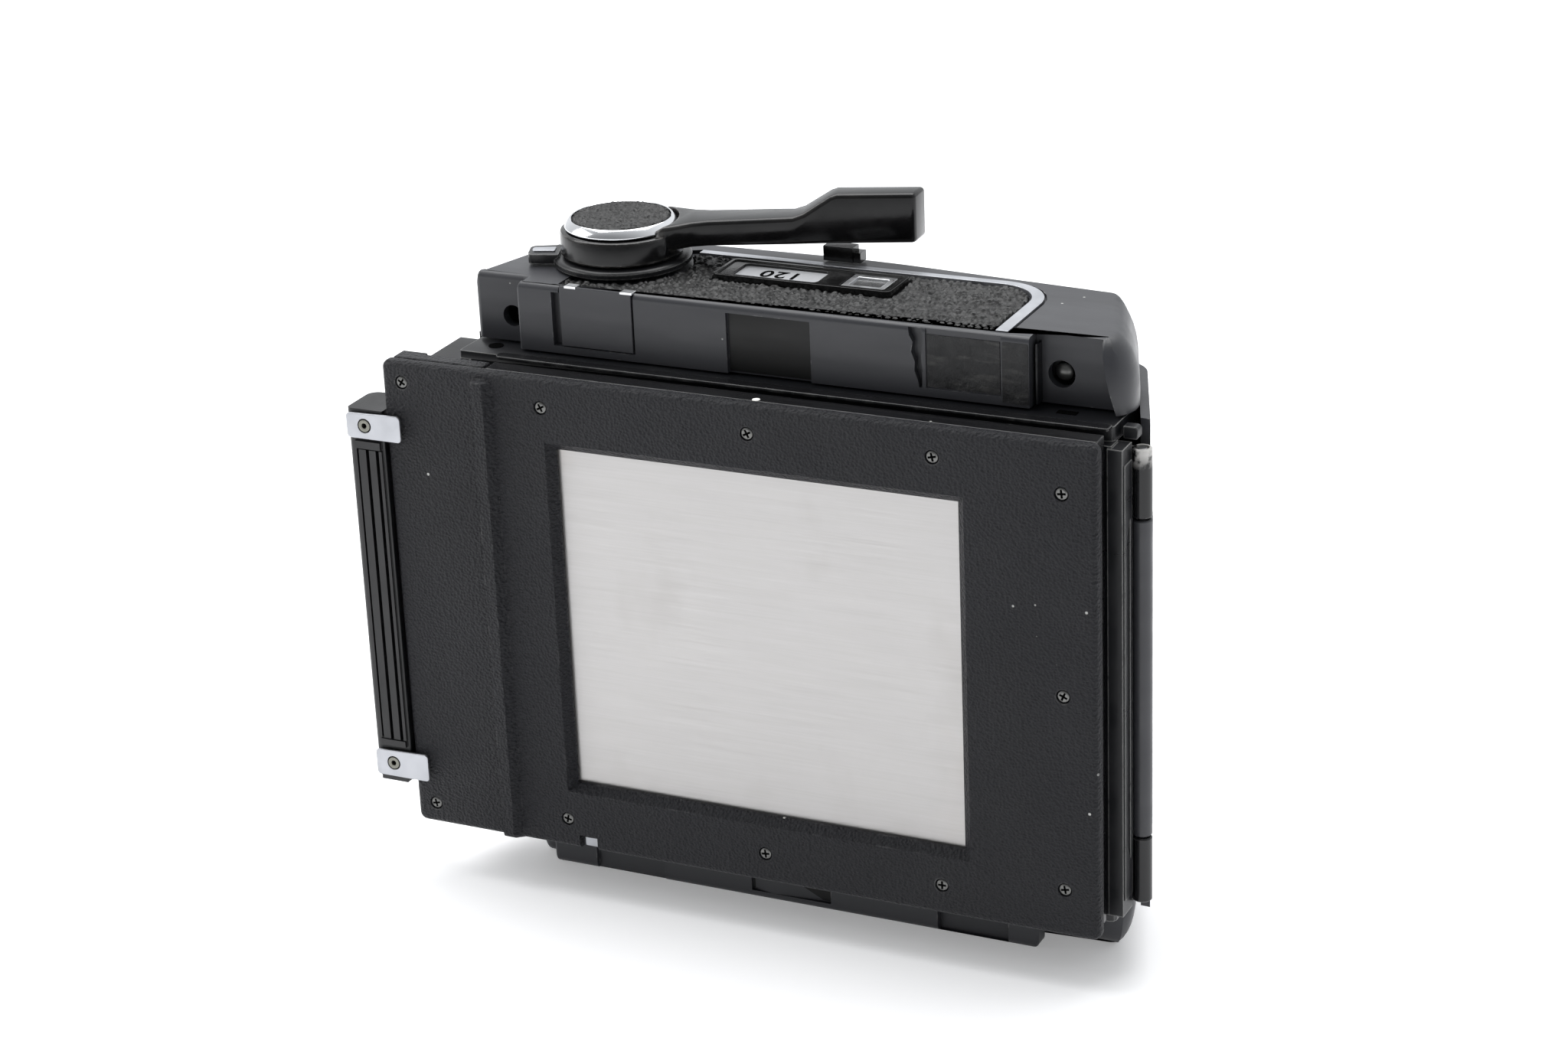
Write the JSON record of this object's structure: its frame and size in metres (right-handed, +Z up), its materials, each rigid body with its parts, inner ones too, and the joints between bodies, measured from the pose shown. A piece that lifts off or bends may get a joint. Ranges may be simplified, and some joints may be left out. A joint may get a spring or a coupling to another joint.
{
  "type": "roll-film holder back",
  "caption": "Detachable roll-film holder for a press camera, with dark slide, hinged back, winding lever, spools and film gate.",
  "frame": {"origin": "middle of the underside of the lower housing, which is the middle of the overall box in plan", "axes": "+X to the right along the front plate as seen from the camera side, +Y from the plate towards the hinged back, +Z up from the lower housing to the winding lever"},
  "size_m": [0.1418, 0.0468, 0.1221],
  "materials": {
    "black_grained_plate": "fine crinkle paint",
    "black_satin_paint": "satin paint, worn at the edges",
    "black_plastic": "satin",
    "leatherette": "pebbled",
    "slide_steel": "brushed",
    "bright_alloy": "satin",
    "chrome_ring": "polished",
    "dark_screw_steel": "darkened",
    "gear_brass": "machined",
    "spring_steel": "bright",
    "label_white": "silver-white",
    "window_glass": "clear"
  },
  "bodies": {
    "holder": {"front_plate": "black_grained_plate", "plate_screw_01": "dark_screw_steel", "plate_screw_02": "dark_screw_steel", "plate_screw_03": "dark_screw_steel", "plate_screw_04": "dark_screw_steel", "plate_screw_05": "dark_screw_steel", "plate_screw_06": "dark_screw_steel", "plate_screw_07": "dark_screw_steel", "plate_screw_08": "dark_screw_steel", "plate_screw_09": "dark_screw_steel", "plate_screw_10": "dark_screw_steel", "plate_screw_11": "dark_screw_steel", "light_trap_block": "black_grained_plate", "slide_frame": "black_satin_paint", "holder_body": "black_satin_paint", "top_housing": "black_satin_paint", "bottom_housing": "black_satin_paint", "top_leatherette": "leatherette", "trim_strip": "bright_alloy", "window_bezel": "black_plastic", "film_type_label": "label_white", "counter_window": "window_glass", "wall_panel": "black_satin_paint", "lever_return_spring": "spring_steel", "supply_upper_stud": "bright_alloy", "take_up_stud_spring": "spring_steel", "supply_stud_spring": "spring_steel", "pressure_spring_upper": "spring_steel", "pressure_spring_lower": "spring_steel", "spool_carriage": "black_satin_paint", "hinge_leaf": "black_satin_paint", "hinge_pin": "spring_steel", "interlock_tab": "bright_alloy"},
    "lever": {"winding_lever": "black_satin_paint", "hub_ring": "chrome_ring", "hub_disc": "leatherette"},
    "take_up": {"winding_shaft": "spring_steel", "wind_gear": "gear_brass", "take_up_spool": "black_plastic"},
    "idler": {"idler_gear": "gear_brass"},
    "counter": {"counter_dial": "label_white"},
    "supply": {"supply_spool": "black_plastic"},
    "roller_left": {"film_roller_left": "bright_alloy"},
    "roller_right": {"film_roller_right": "bright_alloy"},
    "slide": {"dark_slide": "slide_steel", "slide_handle": "black_plastic", "slide_clip_upper": "bright_alloy", "slide_clip_lower": "bright_alloy", "clip_screw_upper": "dark_screw_steel", "clip_screw_lower": "dark_screw_steel"},
    "door": {"back_door": "black_satin_paint", "door_leatherette": "leatherette"},
    "latch": {"door_latch": "bright_alloy"},
    "selector": {"selector_ring": "black_satin_paint"},
    "release": {"release_slider": "black_plastic"},
    "take_up_stud": {"take_up_lower_stud": "bright_alloy"},
    "supply_stud": {"supply_lower_stud": "bright_alloy"},
    "pressure": {"pressure_plate": "black_satin_paint"}
  },
  "joints": [
    {"name": "lever_swing", "type": "hinge", "parent": "holder", "child": "lever", "pos_m": [-0.02983, 0.0047, 0.114], "axis": [0, 0, 1], "range_deg": [0, 140], "stiffness_Nm_per_rad": 0.02},
    {"name": "take_up_turn", "type": "hinge", "parent": "holder", "child": "take_up", "pos_m": [-0.02983, 0.0047, 0.114], "axis": [0, 0, 1], "range_deg": [0, 140]},
    {"name": "idler_turn", "type": "hinge", "parent": "holder", "child": "idler", "pos_m": [-0.01183, 0.0047, 0.101], "axis": [0, 0, 1], "range_deg": [-112, 0]},
    {"name": "counter_turn", "type": "hinge", "parent": "holder", "child": "counter", "pos_m": [0.00617, 0.0047, 0.101], "axis": [0, 0, 1], "range_deg": [0, 140]},
    {"name": "supply_turn", "type": "hinge", "parent": "holder", "child": "supply", "pos_m": [0.03728, 0.00411, 0.053], "axis": [0, 0, 1], "continuous": true},
    {"name": "roller_left_turn", "type": "hinge", "parent": "holder", "child": "roller_left", "pos_m": [-0.04543, -0.00899, 0.053], "axis": [0, 0, 1], "continuous": true},
    {"name": "roller_right_turn", "type": "hinge", "parent": "holder", "child": "roller_right", "pos_m": [0.05597, -0.00899, 0.053], "axis": [0, 0, 1], "continuous": true},
    {"name": "slide_pull", "type": "slide", "parent": "holder", "child": "slide", "axis": [-1, 0, 0], "range_m": [0, 0.112]},
    {"name": "door_swing", "type": "hinge", "parent": "holder", "child": "door", "pos_m": [0.06928, -0.0108, 0.053], "axis": [0, 0, -1], "range_deg": [0, 110]},
    {"name": "latch_slide", "type": "slide", "parent": "holder", "child": "latch", "axis": [0, 0, 1], "range_m": [0, 0.003], "stiffness_N_per_m": 60},
    {"name": "selector_turn", "type": "hinge", "parent": "holder", "child": "selector", "pos_m": [-0.02983, 0.0047, 0.111], "axis": [0, 0, 1], "range_deg": [0, 30]},
    {"name": "release_press", "type": "slide", "parent": "holder", "child": "release", "axis": [1, 0, 0], "range_m": [0, 0.003], "stiffness_N_per_m": 60},
    {"name": "take_up_stud_slide", "type": "slide", "parent": "holder", "child": "take_up_stud", "axis": [0, 0, -1], "range_m": [0, 0.0026], "stiffness_N_per_m": 200, "deforming": ["take_up_stud_spring"]},
    {"name": "supply_stud_slide", "type": "slide", "parent": "holder", "child": "supply_stud", "axis": [0, 0, -1], "range_m": [0, 0.0026], "stiffness_N_per_m": 200, "deforming": ["supply_stud_spring"]},
    {"name": "pressure_plate_lift", "type": "slide", "parent": "holder", "child": "pressure", "axis": [0, 1, 0], "range_m": [0, 0.0003], "stiffness_N_per_m": 400}
  ],
  "couplings": [
    {"joint": "take_up_turn", "follows": "lever_swing", "ratio": 1},
    {"joint": "idler_turn", "follows": "lever_swing", "ratio": -0.8},
    {"joint": "counter_turn", "follows": "lever_swing", "ratio": 1}
  ]
}
